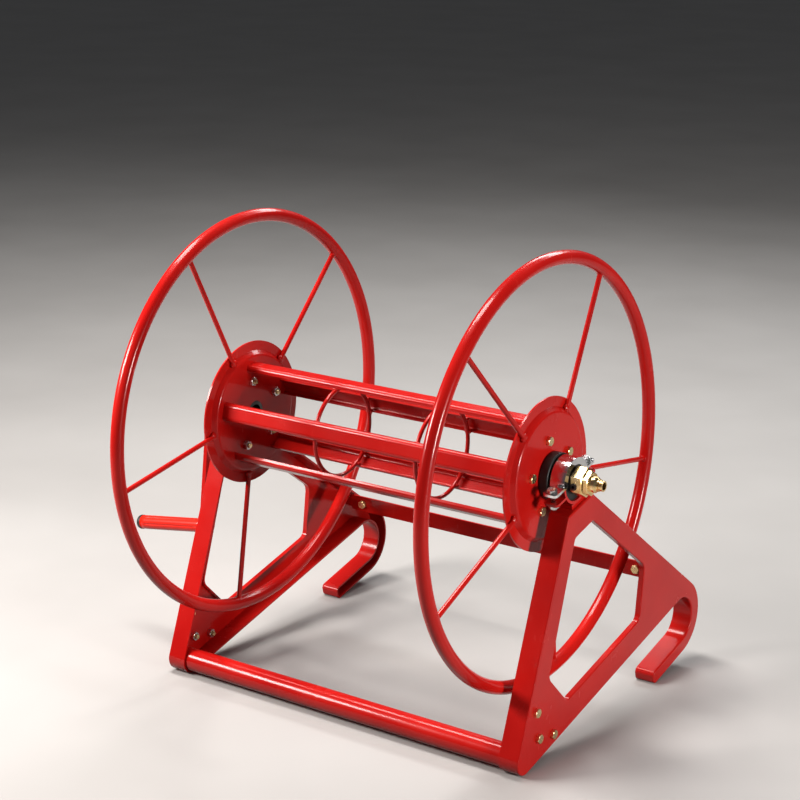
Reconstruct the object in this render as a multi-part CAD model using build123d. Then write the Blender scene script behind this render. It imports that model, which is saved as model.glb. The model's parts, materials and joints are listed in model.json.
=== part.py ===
from build123d import *
import os
from math import asin, atan2, cos, degrees, hypot, radians, sin, tan

# Hand-cranked hose reel on a stand: two pressed side frames with rear hooks, a wheel-sided drum between
# them, a crank on the left and a water inlet with a swivel on the right.
# Everything is drawn about the axle (X along the axle to the right, Y to the rear, Z up) in millimetres,
# and moved at the end so that the origin lies under the middle of the whole reel, on the floor.

# --- side frames, drawn in their own plane: U to the rear, V up, axle at (0, 0) ---
HALF_WIDTH = 253.3          # axle middle to the outer face of a side frame
SHEET = 2.4                 # pressed steel sheet
FLANGE_DEPTH = 25.5         # how far the rolled edge reaches inwards
EDGE_ROUND = 2.0            # outer bend radius of the pressing
TOP_V = -29.5               # bearing platform
TOP_FRONT_U = -28.5
TOP_REAR_U = 24.6
TOP_CORNER_R = 4.0
FRONT_SLOPE = radians(55.2)  # front edge against the lower edge
LOWER_V = -279.8            # lower edge and top of the hook slot
TUBE_R = 14.0
TUBE_WALL = 1.5
FOOT_R = TUBE_R + SHEET + 0.2
HOOK_U = 191.5              # centre of the hook's bow
HOOK_OUT_R = 48.0
HOOK_SLOT = 57.6            # clear height of the hook slot
LEG_H = 17.0                # height of the hook's leg
LEG_V = LOWER_V - HOOK_SLOT - LEG_H
HOOK_V = LEG_V + HOOK_OUT_R
TIP_U = 114.0
TIP_R = 6.0
WINDOW = [(19, -62), (-21, -62), (-106, -195), (-76, -246), (95, -246), (119.5, -183)]
WINDOW_R = [4, 6, 12, 10, 10, 14]
WINDOW_LIP = 7.0
WINDOW_ROUND = 1.5          # outer bend radius of the window's rolled edge

# --- front tube, its end plates and the rear strap ---
PLATE_T = 3.0
PLATE_X = HALF_WIDTH - SHEET - PLATE_T
PAD_R = 9.0                 # round corner of a plate about its bolt
FOOT_BOLTS = [(-139.5, -218.5), (-142.0, -252.0), (-113.5, -266.0)]
STRAP_Y = 227.0             # front face
STRAP_Z = -183.0
STRAP_H = 20.0
STRAP_T = 3.0
STRAP_HALF = 226.0
STRAP_CORNER = 4.0
STRAP_BOLT_X = 207.0
TAB_H = 15.0

# --- wheels and discs ---
WHEEL_R = 250.0
RIM_TUBE_R = 8.0
RIM_X = 208.0
DISC_R = 88.0
DISC_T = 2.0
BOSS_FOOT_R = 76.5
BOSS_R = 71.5
BOSS_H = 5.5
BOSS_ROUND = 3.5
BOSS_SKEW = 1.2             # keeps the sloped wall of the boss as thick as the disc
DISC_BORE_R = 14.3
RIGHT_DISC_X = 208.5        # inner face of the right disc's flange
LEFT_DISC_X = -211.5
SPOKE_R = 3.0
SPOKE_WELD = 0.5            # how far a welded spoke sinks into the disc
SPOKE_IN_R = BOSS_FOOT_R + 1.0
SPOKE_OUT_R = WHEEL_R - 2 * RIM_TUBE_R + 2.0
LEFT_SPOKE_DEG = 45.9
RIGHT_SPOKE_DEG = 61.7
ARMS = 5
PITCH = 360 / ARMS

# --- slats and wire rings of the drum ---
SLAT_OUT_R = 63.0
SLAT_W = 22.0
SLAT_D = 7.0
SLAT_T = 1.8
SLAT_CORNER = 5.0
SLAT_DEG = 21.5
RING_X = 71.0
WIRE_R = 2.5
RING_GAP = 0.05
RING_R = hypot(SLAT_OUT_R - SLAT_D, SLAT_W / 2 - SLAT_T) - WIRE_R - RING_GAP

# --- hub bolts ---
HUB_BOLT_R = 41.5
HUB_BOLT_DEG = 26.5
HUB_R = 50.0
HUB_T = 5.0

# --- fasteners, M6 ---
BOLT_R = 3.0
HOLE_R = 3.2
NUT_BORE_R = 3.05
HEAD_AF = 10.0
HEAD_H = 4.0
NUT_H = 5.0
EASED = 0.97                # part of a hexagon's flat width that its eased end keeps
BOLT_SPARE = 2.5            # thread past the nut

# --- bearings ---
JOURNAL_R = 14.0
RUNNING = 0.05
BUSH_X = 217.0
BUSH_FLANGE_R = 27.5
BUSH_FLANGE_T = 11.0
BUSH_R = 23.0
BUSH_END = 246.0
BUSH_ROUND = 1.5
BAND_R = 26.2
BAND_X = 231.0
BAND_W = 18.0
BAND_MIDDLE = BAND_X + BAND_W / 2
LIP_R = 18.5                # bore of the clamp's inward lip
LIP_GAP = 0.3               # between the lip and the end of the bush
EAR_U = 36.5
EAR_END = 43.5
EAR_T = 3.0
EAR_GAP = 9.0               # between the clamp's ears and the saddle's
EAR_CORNER = 4.0
BLOCK_U = 30.0              # length of the block under the saddle
BLOCK_SINK = 1.0            # how far the block stops short of the saddle's bore
SPLIT_V = 1.0               # where the clamp and its saddle meet

# --- axles ---
AXLE_BORE_R = 10.0
AXLE_STEM_R = 4.0           # threaded stem that carries the crank
AXLE_STEM_LEN = 12.2
AXLE_WALL = 8.0             # solid end of the hollow left axle
SPINDLE_R = 12.0            # spindle inside the drum

# --- swivel and waterway ---
WATER_R = 4.4
BODY_X = 250.0
BODY_LEN = 13.5
BODY_AF = 30.0
NOSE_R = 9.0
NOSE_END = 255.0
SCREW_X = 254.0
SCREW_Z = -2.5
SCREW_R = 4.0
SCREW_PROUD = 0.8
SCREW_TIP = 9.3             # the screw's tip stops short of the spindle's nose
SOCKET_R = 2.2
SPIGOT_R = 8.0
SPIGOT_X = 257.3
CLIP_X = 260.6
CLIP_W = 1.0
CLIP_GROOVE_W = 1.2
CLIP_DEPTH = 0.9
SEAL_X = 258.9
SEAL_W = 1.5
SEAL_FLOOR_R = 6.55
SEAL_R = 7.27
SEAL_WIRE_R = 0.7
NUT_X = 264.2
NUT_W = 5.3
NUT_AF = 25.0
COLLAR_R = 9.2
NECK_R = 7.0
TAIL_END = 284.0
TAIL_TIP = 5.0              # length of the plain end that takes the supply hose
TAIL_R = 6.0
OUTLET_DEG = -14.5          # the hose leaves between two slats, to the rear
OUTLET_X = 187.0
OUTLET_END = 72.0
ELBOW_RUN_R = 10.5
ELBOW_BRANCH_R = 9.0
ELBOW_LEN = 38.0
BARB_STEP = 5.0
BARB_H = 0.9

# --- crank ---
ARM_X = 267.0               # inner face, left of the axle's middle
ARM_T = 6.0
ARM_W = 24.0
ARM_LEN = 156.8
CRANK_DEG = -7.0            # the crank hangs a little forward of straight down
CRANK_WASHER_R = 8.0
CRANK_WASHER_T = 1.0
CRANK_NUT_AF = 13.0
CRANK_NUT_H = 4.0           # a thin nut
PIN_R = 5.0
PIN_NECK_R = 4.0
PIN_HEAD_R = 6.6
PIN_HEAD_T = 2.0
PIN_DROOP = radians(8.75)   # the grip's pin points slightly outwards and down
SEAT_GAP = 1.1              # the drooping pin's shoulders stand just clear of the arm's faces
GRIP_R = 8.8
GRIP_GAP = 3.0
GRIP_LEN = 106.0
GRIP_ROUND = 1.5
CAP_LEN = 6.0
CAP_ROUND = 3.5
PLUG_LEN = 3.0
PLUG_R = 6.9
POCKET_R = 7.0
PIN_END = GRIP_GAP + GRIP_LEN - CAP_LEN - 6.0
STANDING = (Align.CENTER, Align.CENTER, Align.MIN)
HUNG = (Align.CENTER, Align.CENTER, Align.MAX)


# ---------------------------------------------------------------- small helpers
def rod(radius, x_from, x_to, bore=0.0):
    """A round bar or tube along X."""
    bar = Cylinder(radius, x_to - x_from, align=STANDING)
    if bore:
        bar -= Cylinder(bore, x_to - x_from, align=STANDING)
    return Pos(x_from, 0, 0) * Rot(0, 90, 0) * bar


def hexagon(across_flats, height, bore=0.0):
    """A hexagon standing on Z = 0, its corners eased as on a rolled nut."""
    shape = extrude(RegularPolygon(across_flats / 2, 6, major_radius=False), height)
    corner_r = across_flats / 2 / cos(radians(30))
    ease = corner_r - across_flats / 2 * EASED
    cone = Cylinder(corner_r, height, align=STANDING)
    shape &= chamfer(cone.edges().group_by(Axis.Z)[-1], ease * tan(radians(30)), ease)
    if bore:
        shape -= Cylinder(bore, height, align=STANDING)
    return shape


def turned(points):
    """A lathe shape about X from (x, radius) points."""
    return revolve(make_face(Polyline(*points, close=True)), Axis.X)


def looking(origin, direction):
    """A place whose Z points along direction."""
    return Plane(origin=origin, z_dir=direction).location


def bolt(origin, direction, grip):
    """A hexagon bolt: its head stands on origin, its shank runs back through the grip and a nut."""
    shank = Cylinder(BOLT_R, grip + NUT_H + BOLT_SPARE, align=HUNG)
    return looking(origin, direction) * (hexagon(HEAD_AF, HEAD_H) + shank)


def nut(origin, direction):
    """A hexagon nut whose seat is at origin."""
    return looking(origin, direction) * hexagon(HEAD_AF, NUT_H, NUT_BORE_R)


def each_arm(shape, first_deg):
    """The same piece five times round the axle."""
    return [Rot(X=first_deg + PITCH * i) * shape for i in range(ARMS)]


def with_hub_holes(shape, x_from, x_to):
    """The shape drilled for the five hub bolts."""
    for hole in each_arm(Pos(0, HUB_BOLT_R, 0) * rod(HOLE_R, x_from, x_to), HUB_BOLT_DEG):
        shape -= hole
    return shape


def group(solids):
    """Separate, identical solids kept in one node."""
    return Compound(children=list(solids))


def both_sides(shape):
    """A shape and its mirror image across the middle of the reel."""
    return [shape, mirror(shape, Plane.YZ)]


# ---------------------------------------------------------------- side frames
FOOT_U = TOP_FRONT_U - (TOP_V - LOWER_V) / tan(FRONT_SLOPE)
FOOT_CENTRE = (FOOT_U + FOOT_R / tan(FRONT_SLOPE / 2), LOWER_V + FOOT_R)
TIP_CENTRE = (TIP_U + TIP_R, LEG_V + TIP_R)
# The reel stands on the rounded foot and on the tip of the hook, which sets how far the frame leans back.
STEP_U = TIP_CENTRE[0] - FOOT_CENTRE[0]
STEP_V = FOOT_CENTRE[1] - TIP_CENTRE[1]
LEAN = atan2(STEP_V, STEP_U) - asin((FOOT_R - TIP_R) / hypot(STEP_U, STEP_V))
LEANING = Rot(X=degrees(LEAN))


def level(u, v):
    """A point of the leaning frame as upright (Y, Z)."""
    return (u * cos(LEAN) - v * sin(LEAN), u * sin(LEAN) + v * cos(LEAN))


AXLE_HEIGHT = FOOT_R - level(*FOOT_CENTRE)[1]


def rounded_at(face, radii):
    """The face with its corner nearest each U, V point rounded to that point's radius."""
    for (u, v), radius in radii.items():
        corner = face.vertices().sort_by_distance((u, v, 0))[0]
        face = fillet(corner, radius)
    return face


def frame_outline():
    """Outer outline of a side frame in U, V."""
    bow = Vector(HOOK_U, HOOK_V)
    to_bow = bow - Vector(TOP_REAR_U, TOP_V)
    rear_angle = atan2(to_bow.Y, to_bow.X) + asin(HOOK_OUT_R / to_bow.length)
    touch = bow + Vector(-sin(rear_angle), cos(rear_angle)) * HOOK_OUT_R
    slot_r = HOOK_SLOT / 2
    slot_mid_v = LOWER_V - slot_r
    lines = [
        Line((TOP_FRONT_U, TOP_V), (TOP_REAR_U, TOP_V)),
        Line((TOP_REAR_U, TOP_V), touch),
        ThreePointArc(touch, bow + Vector(HOOK_OUT_R, 0), bow - Vector(0, HOOK_OUT_R)),
        Line((HOOK_U, LEG_V), (TIP_U, LEG_V)),
        Line((TIP_U, LEG_V), (TIP_U, LOWER_V - HOOK_SLOT)),
        Line((TIP_U, LOWER_V - HOOK_SLOT), (HOOK_U, LOWER_V - HOOK_SLOT)),
        ThreePointArc((HOOK_U, LOWER_V - HOOK_SLOT), (HOOK_U + slot_r, slot_mid_v), (HOOK_U, LOWER_V)),
        Line((HOOK_U, LOWER_V), (FOOT_U, LOWER_V)),
        Line((FOOT_U, LOWER_V), (TOP_FRONT_U, TOP_V)),
    ]
    face = make_face(lines)
    rounded = {(TOP_FRONT_U, TOP_V): TOP_CORNER_R, (TOP_REAR_U, TOP_V): TOP_CORNER_R,
               (FOOT_U, LOWER_V): FOOT_R,
               (TIP_U, LEG_V): TIP_R, (TIP_U, LOWER_V - HOOK_SLOT): TIP_R}
    return rounded_at(face, rounded)


def window_outline():
    """The opening in a side frame."""
    return rounded_at(make_face(Polyline(*WINDOW, close=True)), dict(zip(WINDOW, WINDOW_R)))


def pressed(sketch, x_from, x_to):
    """Extrude a U, V sketch between two X values."""
    return extrude(Plane.YZ.offset(x_from) * sketch, x_to - x_from)


def side_frame():
    """The right side frame, a tray of sheet with every edge rolled inwards."""
    outline = frame_outline()
    window = window_outline()
    inner_x = HALF_WIDTH - FLANGE_DEPTH
    web_x = HALF_WIDTH - SHEET
    tray = pressed(outline, inner_x, HALF_WIDTH)
    outer_edges = tray.faces().sort_by(Axis.X)[-1].edges()
    tray = fillet(outer_edges, EDGE_ROUND)
    tray -= pressed(offset(outline, amount=-SHEET), inner_x, web_x)
    tray += pressed(offset(window, amount=SHEET), HALF_WIDTH - WINDOW_LIP, web_x)
    tray -= pressed(window, inner_x, HALF_WIDTH)
    window_edges = tray.faces().sort_by(Axis.X)[-1].inner_wires()[0].edges()
    tray = fillet(window_edges, WINDOW_ROUND)
    for u, v in FOOT_BOLTS:
        tray -= Pos(0, u, v) * rod(HOLE_R, inner_x, HALF_WIDTH)
    return LEANING * tray


# ---------------------------------------------------------------- front tube and rear strap
def tube_plate():
    """The plate welded on the tube's end and bolted inside the side frame."""
    round_tube = Pos(*FOOT_CENTRE) * Circle(TUBE_R)
    high_pad = Pos(*FOOT_BOLTS[0]) * Circle(PAD_R)
    rear_pad = Pos(*FOOT_BOLTS[2]) * Circle(PAD_R)
    outline = make_hull(round_tube.edges() + high_pad.edges() + rear_pad.edges())
    plate = pressed(outline, PLATE_X, PLATE_X + PLATE_T)
    for u, v in FOOT_BOLTS:
        plate -= Pos(0, u, v) * rod(HOLE_R, PLATE_X, PLATE_X + PLATE_T)
    return LEANING * plate


def front_tube():
    """Round tube between the two plates, behind the front feet."""
    y, z = level(*FOOT_CENTRE)
    return Pos(0, y, z) * rod(TUBE_R, -PLATE_X, PLATE_X, TUBE_R - TUBE_WALL)


def foot_fasteners():
    """Bolts from outside and nuts inside, three in each foot."""
    bolts = []
    nuts = []
    for u, v in FOOT_BOLTS:
        y, z = level(u, v)
        bolts += both_sides(bolt((HALF_WIDTH, y, z), (1, 0, 0), SHEET + PLATE_T))
        nuts += both_sides(nut((PLATE_X, y, z), (-1, 0, 0)))
    return group(bolts), group(nuts)


def rear_strap():
    """Flat bar that ties the two frames together behind the drum."""
    bar = Pos(0, STRAP_Y + STRAP_T / 2, STRAP_Z) * Box(2 * STRAP_HALF, STRAP_T, STRAP_H)
    bar = fillet(bar.edges().filter_by(Axis.Y), STRAP_CORNER)
    for x in (-STRAP_BOLT_X, STRAP_BOLT_X):
        bar -= looking((x, STRAP_Y, STRAP_Z), (0, 1, 0)) * Cylinder(HOLE_R, 4 * STRAP_T)
    return bar


def strap_tab():
    """The tab welded to the right frame that the strap is bolted to."""
    length = HALF_WIDTH - SHEET - STRAP_BOLT_X + TAB_H / 2
    middle = HALF_WIDTH - SHEET - length / 2
    tab = Pos(middle, STRAP_Y + 1.5 * STRAP_T, STRAP_Z) * Box(length, STRAP_T, TAB_H)
    return tab - looking((STRAP_BOLT_X, STRAP_Y, STRAP_Z), (0, 1, 0)) * Cylinder(HOLE_R, 6 * STRAP_T)


def strap_fasteners():
    """One bolt and nut at each end of the strap, heads to the front."""
    bolts = both_sides(bolt((STRAP_BOLT_X, STRAP_Y, STRAP_Z), (0, -1, 0), 2 * STRAP_T))
    nuts = both_sides(nut((STRAP_BOLT_X, STRAP_Y + 2 * STRAP_T, STRAP_Z), (0, 1, 0)))
    return group(bolts), group(nuts)


# ---------------------------------------------------------------- bearings
def bearing_bush():
    """Black plastic bush on the right, with a thick flange beside the disc."""
    flange_x = BUSH_X + BUSH_FLANGE_T
    bore = JOURNAL_R + RUNNING
    bush = turned([(BUSH_X, bore), (BUSH_X, BUSH_FLANGE_R), (flange_x, BUSH_FLANGE_R),
                   (flange_x, BUSH_R), (BUSH_END, BUSH_R), (BUSH_END, bore)])
    rims = bush.edges().filter_by(GeomType.CIRCLE).group_by(SortBy.RADIUS)[-1]
    return fillet(rims, BUSH_ROUND)


def band(above):
    """Half of the ring that holds a bush, above or below the split, with its two drilled ears."""
    ear_len = EAR_END - BUSH_R
    half = rod(BAND_R, BAND_X, BAND_X + BAND_W)
    for side in (-1, 1):
        middle_v = SPLIT_V + (EAR_T / 2 if above else -EAR_GAP - EAR_T / 2)
        ear = Pos(BAND_MIDDLE, side * (EAR_END - ear_len / 2), middle_v) * Box(BAND_W, ear_len, EAR_T)
        outer_corners = ear.edges().filter_by(Axis.Z).group_by(Axis.Y)[0 if side < 0 else -1]
        half += fillet(outer_corners, EAR_CORNER)
    half &= Pos(BAND_MIDDLE, 0, SPLIT_V) * Box(
        2 * BAND_W, 4 * BAND_R, 2 * BAND_R, align=STANDING if above else HUNG)
    half -= rod(BUSH_R + RUNNING, BAND_X, BAND_X + BAND_W)
    for side in (-1, 1):
        half -= Pos(BAND_MIDDLE, side * EAR_U, SPLIT_V) * Cylinder(HOLE_R, 4 * (EAR_T + EAR_GAP))
    return half


def bearing_clamp():
    """The bright upper strap, with a lip turned in over the bush's end."""
    lip_x = BUSH_END + LIP_GAP
    lip = rod(BAND_R, lip_x, BAND_X + BAND_W, LIP_R)
    lip &= Pos(BAND_MIDDLE, 0, SPLIT_V) * Box(2 * BAND_W, 4 * BAND_R, 2 * BAND_R, align=STANDING)
    return LEANING * (band(True) + lip)


def bearing_saddle():
    """The painted lower half, on a block welded to the frame's platform."""
    block_h = -BUSH_R - BLOCK_SINK - TOP_V
    block = Pos(BAND_MIDDLE, 0, TOP_V) * Box(BAND_W, BLOCK_U, block_h, align=STANDING)
    block -= rod(BUSH_R + RUNNING, BAND_X, BAND_X + BAND_W)
    return LEANING * (band(False) + block)


def clamp_fasteners():
    """Two bolts and nuts through the ears of each clamp, heads upwards."""
    bolts = []
    nuts = []
    length = 2 * EAR_T + EAR_GAP
    for ear_u in (-EAR_U, EAR_U):
        bolts += both_sides(LEANING * bolt((BAND_MIDDLE, ear_u, SPLIT_V + EAR_T), (0, 0, 1), length))
        nuts += both_sides(LEANING * nut((BAND_MIDDLE, ear_u, SPLIT_V - EAR_GAP - EAR_T), (0, 0, -1)))
    return group(bolts), group(nuts)


# ---------------------------------------------------------------- wheels and discs
def disc(x):
    """A pressed disc whose middle is raised towards +X, with holes for the hub bolts."""
    boss_x = x + BOSS_H
    profile = make_face(Polyline(
        (x, DISC_R), (x + DISC_T, DISC_R), (x + DISC_T, BOSS_FOOT_R), (boss_x + DISC_T, BOSS_R),
        (boss_x + DISC_T, DISC_BORE_R), (boss_x, DISC_BORE_R), (boss_x, BOSS_R - BOSS_SKEW),
        (x, BOSS_FOOT_R - BOSS_SKEW), close=True))
    corner = profile.vertices().sort_by_distance((boss_x + DISC_T, BOSS_R, 0))[0]
    profile = fillet(corner, BOSS_ROUND)
    return with_hub_holes(revolve(profile, Axis.X), x, boss_x + DISC_T)


def rim(x):
    """The hoop of bent tube round a wheel."""
    return Pos(x, 0, 0) * Rot(0, 90, 0) * Torus(WHEEL_R - RIM_TUBE_R, RIM_TUBE_R)


def spokes(disc_x, rim_x, first_deg):
    """Round bars from the foot of the boss to the rim's inner side."""
    start = Vector(disc_x + DISC_T + SPOKE_R - SPOKE_WELD, SPOKE_IN_R, 0)
    end = Vector(rim_x, SPOKE_OUT_R, 0)
    run = end - start
    bar = looking(start, run) * Cylinder(SPOKE_R, run.length, align=STANDING)
    return group(each_arm(bar, first_deg))


# ---------------------------------------------------------------- drum cage
SLAT_FROM = LEFT_DISC_X + BOSS_H + DISC_T
SLAT_TO = RIGHT_DISC_X + BOSS_H


def slat():
    """A channel with rounded shoulders, open towards the axle, welded between the discs."""
    depth = 2 * SLAT_D
    outer = Pos(SLAT_OUT_R - depth / 2, 0) * RectangleRounded(depth, SLAT_W, SLAT_CORNER)
    inner = Pos(SLAT_OUT_R - depth / 2 - SLAT_T, 0) * RectangleRounded(
        depth, SLAT_W - 2 * SLAT_T, SLAT_CORNER - SLAT_T)
    open_side = Pos(SLAT_OUT_R - SLAT_D, 0) * Rectangle(depth, SLAT_W, align=(Align.MAX, Align.CENTER))
    return pressed(outer - inner - open_side, SLAT_FROM, SLAT_TO)


def wire_ring(x):
    """A hoop of wire that holds the slats from inside."""
    return Pos(x, 0, 0) * Rot(0, 90, 0) * Torus(RING_R, WIRE_R)


def hub_fasteners():
    """Bolt heads outside both discs, nuts inside the drum."""
    stack = DISC_T + HUB_T
    right_seat = RIGHT_DISC_X + BOSS_H + DISC_T
    left_seat = LEFT_DISC_X + BOSS_H - HUB_T
    bolts = each_arm(bolt((right_seat, HUB_BOLT_R, 0), (1, 0, 0), stack), HUB_BOLT_DEG)
    bolts += each_arm(bolt((left_seat, HUB_BOLT_R, 0), (-1, 0, 0), stack), HUB_BOLT_DEG)
    nuts = each_arm(nut((right_seat - stack, HUB_BOLT_R, 0), (-1, 0, 0)), HUB_BOLT_DEG)
    nuts += each_arm(nut((left_seat + stack, HUB_BOLT_R, 0), (1, 0, 0)), HUB_BOLT_DEG)
    return group(bolts), group(nuts)


# ---------------------------------------------------------------- axles
def left_axle():
    """Stub axle with its hub flange, open towards the drum and threaded for the crank."""
    flange_x = LEFT_DISC_X + BOSS_H
    shoulder_x = -BODY_X
    stem_x = -ARM_X + 0.2
    shape = turned([
        (SLAT_FROM, AXLE_BORE_R), (SLAT_FROM, JOURNAL_R), (flange_x, JOURNAL_R), (flange_x, HUB_R),
        (flange_x - HUB_T, HUB_R), (flange_x - HUB_T, JOURNAL_R), (shoulder_x, JOURNAL_R),
        (shoulder_x, AXLE_BORE_R), (stem_x, AXLE_BORE_R), (stem_x, AXLE_STEM_R),
        (stem_x - AXLE_STEM_LEN, AXLE_STEM_R), (stem_x - AXLE_STEM_LEN, 0),
        (shoulder_x + AXLE_WALL, 0), (shoulder_x + AXLE_WALL, AXLE_BORE_R)])
    return with_hub_holes(shape, flange_x - HUB_T, flange_x)


def right_spindle():
    """Hollow spindle: the water runs through it from the swivel to the elbow inside the drum."""
    flange_x = RIGHT_DISC_X + BOSS_H
    inner_x = OUTLET_X + 10
    shape = turned([
        (inner_x, WATER_R), (inner_x, SPINDLE_R), (flange_x - HUB_T, SPINDLE_R),
        (flange_x - HUB_T, HUB_R), (flange_x, HUB_R), (flange_x, JOURNAL_R), (BODY_X - 0.5, JOURNAL_R),
        (BODY_X - 0.5, NOSE_R), (NOSE_END, NOSE_R), (NOSE_END, WATER_R)])
    return with_hub_holes(shape, flange_x - HUB_T, flange_x)


# ---------------------------------------------------------------- swivel and waterway
def swivel_body():
    """Brass hexagon fixed on the spindle; the inlet turns in its outer end."""
    body = looking((BODY_X, 0, 0), (1, 0, 0)) * hexagon(BODY_AF, BODY_LEN)
    end_x = BODY_X + BODY_LEN
    body -= rod(NOSE_R + RUNNING, BODY_X, NOSE_END + 0.2)
    body -= rod(WATER_R, BODY_X, end_x)
    body -= rod(SPIGOT_R + RUNNING, SPIGOT_X - 0.3, end_x)
    body -= rod(SPIGOT_R + CLIP_DEPTH, CLIP_X - CLIP_GROOVE_W / 2, CLIP_X + CLIP_GROOVE_W / 2)
    screw_hole = Cylinder(SCREW_R + RUNNING, BODY_AF, align=STANDING)
    return body - looking((SCREW_X, 0, SCREW_Z), (0, -1, 0)) * screw_hole


def swivel_screw():
    """Socket screw that locks the body on the spindle's nose."""
    head = BODY_AF / 2 + SCREW_PROUD
    screw = Cylinder(SCREW_R, head - SCREW_TIP, align=HUNG)
    screw -= extrude(RegularPolygon(SOCKET_R, 6), -1.5 * SOCKET_R)
    return looking((SCREW_X, -head, SCREW_Z), (0, -1, 0)) * screw


def swivel_clip():
    """Spring ring, open at the top, that keeps the inlet in the body."""
    ring = rod(SPIGOT_R + CLIP_DEPTH - 0.1, CLIP_X - CLIP_W / 2, CLIP_X + CLIP_W / 2, SPIGOT_R - CLIP_DEPTH)
    return ring - Pos(CLIP_X, 0, SPIGOT_R) * Box(2 * CLIP_W, 3 * CLIP_W, 5 * CLIP_W)


def inlet_tail():
    """Brass hose tail with the turning spigot, stepped down to its open end."""
    seal_from, seal_to = SEAL_X - SEAL_W / 2, SEAL_X + SEAL_W / 2
    clip_from, clip_to = CLIP_X - CLIP_GROOVE_W / 2, CLIP_X + CLIP_GROOVE_W / 2
    nut_end = NUT_X + NUT_W
    tip = TAIL_END - TAIL_TIP
    return turned([
        (SPIGOT_X, WATER_R), (SPIGOT_X, SPIGOT_R), (seal_from, SPIGOT_R), (seal_from, SEAL_FLOOR_R),
        (seal_to, SEAL_FLOOR_R), (seal_to, SPIGOT_R), (clip_from, SPIGOT_R),
        (clip_from, SPIGOT_R - CLIP_DEPTH - 0.1), (clip_to, SPIGOT_R - CLIP_DEPTH - 0.1), (clip_to, SPIGOT_R),
        (nut_end, SPIGOT_R), (nut_end, COLLAR_R), (nut_end + 5, COLLAR_R), (nut_end + 8.2, NECK_R),
        (tip, NECK_R), (tip, TAIL_R), (TAIL_END, TAIL_R), (TAIL_END, WATER_R)])


def inlet_seal():
    """Rubber ring in the spigot's groove."""
    return Pos(SEAL_X, 0, 0) * Rot(0, 90, 0) * Torus(SEAL_R, SEAL_WIRE_R)


def inlet_nut():
    """Brass hexagon that turns with the hose tail."""
    return looking((NUT_X, 0, 0), (1, 0, 0)) * hexagon(NUT_AF, NUT_W, SPIGOT_R + 0.03)


def outlet_elbow():
    """Brass elbow on the spindle's inner end, with its branch pointing between two slats."""
    run = rod(ELBOW_RUN_R, OUTLET_X - ELBOW_BRANCH_R, OUTLET_X + 10)
    run = fillet(run.edges().group_by(Axis.X)[0], 3)
    to_rear = looking((OUTLET_X, 0, 0), (0, 1, 0))
    branch = to_rear * Cylinder(ELBOW_BRANCH_R, ELBOW_LEN, align=STANDING)
    water = rod(WATER_R, OUTLET_X, OUTLET_X + 10)
    water += to_rear * Cylinder(WATER_R, ELBOW_LEN, align=STANDING)
    return Rot(X=OUTLET_DEG) * (run + branch - water)


def outlet_tail():
    """Barbed hose tail screwed on the elbow."""
    collar_end = ELBOW_LEN + BARB_STEP
    at = collar_end + 7
    points = [(ELBOW_LEN, WATER_R), (ELBOW_LEN, ELBOW_BRANCH_R), (collar_end, ELBOW_BRANCH_R),
              (collar_end, TAIL_R), (at, TAIL_R)]
    while at + BARB_STEP < OUTLET_END - BARB_STEP:
        points += [(at, TAIL_R + BARB_H), (at + BARB_STEP, TAIL_R)]
        at += BARB_STEP
    points += [(OUTLET_END, TAIL_R), (OUTLET_END, WATER_R)]
    return Rot(X=OUTLET_DEG) * Pos(OUTLET_X, 0, 0) * Rot(0, 0, 90) * turned(points)


# ---------------------------------------------------------------- crank
ARM_OUT_X = -ARM_X - ARM_T
HANGING = Rot(X=CRANK_DEG)
PIN_AXIS = (-cos(PIN_DROOP), 0, -sin(PIN_DROOP))
AT_PIN = HANGING * looking((ARM_OUT_X, 0, -ARM_LEN), PIN_AXIS)


def crank_arm():
    """Flat bar with round ends, drilled for the axle and for the grip's pin."""
    half = ARM_W / 2
    front = Rectangle(ARM_W, ARM_LEN, align=(Align.CENTER, Align.MAX))
    front += Circle(half) + Pos(0, -ARM_LEN) * Circle(half)
    arm = pressed(front, ARM_OUT_X, -ARM_X)
    arm = fillet(arm.faces().sort_by(Axis.X)[0].edges(), 1.0)
    arm -= rod(AXLE_STEM_R + RUNNING, ARM_OUT_X, -ARM_X)
    return HANGING * arm - AT_PIN * Cylinder(PIN_NECK_R + RUNNING, 4 * ARM_T)


def crank_washer():
    """Flat washer between the arm and its nut."""
    return rod(CRANK_WASHER_R, ARM_OUT_X - CRANK_WASHER_T, ARM_OUT_X, AXLE_STEM_R + 2 * RUNNING)


def crank_nut():
    """Nut that holds the crank on the axle's threaded stem."""
    seat = looking((ARM_OUT_X - CRANK_WASHER_T, 0, 0), (-1, 0, 0))
    return seat * hexagon(CRANK_NUT_AF, CRANK_NUT_H, AXLE_STEM_R + RUNNING)


def grip_pin():
    """Shouldered pin riveted through the arm, with a head inside the grip's end."""
    pin = Pos(0, 0, SEAT_GAP) * Cylinder(PIN_R, PIN_END, align=STANDING)
    pin += Pos(0, 0, PIN_END) * Cylinder(PIN_HEAD_R, PIN_HEAD_T, align=STANDING)
    pin += Cylinder(PIN_NECK_R, 2 * (ARM_T + PIN_HEAD_T))
    pin += Pos(0, 0, -ARM_T - SEAT_GAP) * Cylinder(PIN_HEAD_R, PIN_HEAD_T, align=HUNG)
    return AT_PIN * pin


def grip_sleeve():
    """Tubular grip that turns on the pin."""
    sleeve = Pos(0, 0, GRIP_GAP) * Cylinder(GRIP_R, GRIP_LEN - CAP_LEN, align=STANDING)
    sleeve = fillet(sleeve.edges().group_by(Axis.Z)[0], GRIP_ROUND)
    sleeve -= Cylinder(PIN_R + RUNNING, 3 * GRIP_LEN)
    pocket = Pos(0, 0, PIN_END - SEAT_GAP / 2) * Cylinder(POCKET_R, GRIP_LEN, align=STANDING)
    return AT_PIN * (sleeve - pocket)


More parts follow.
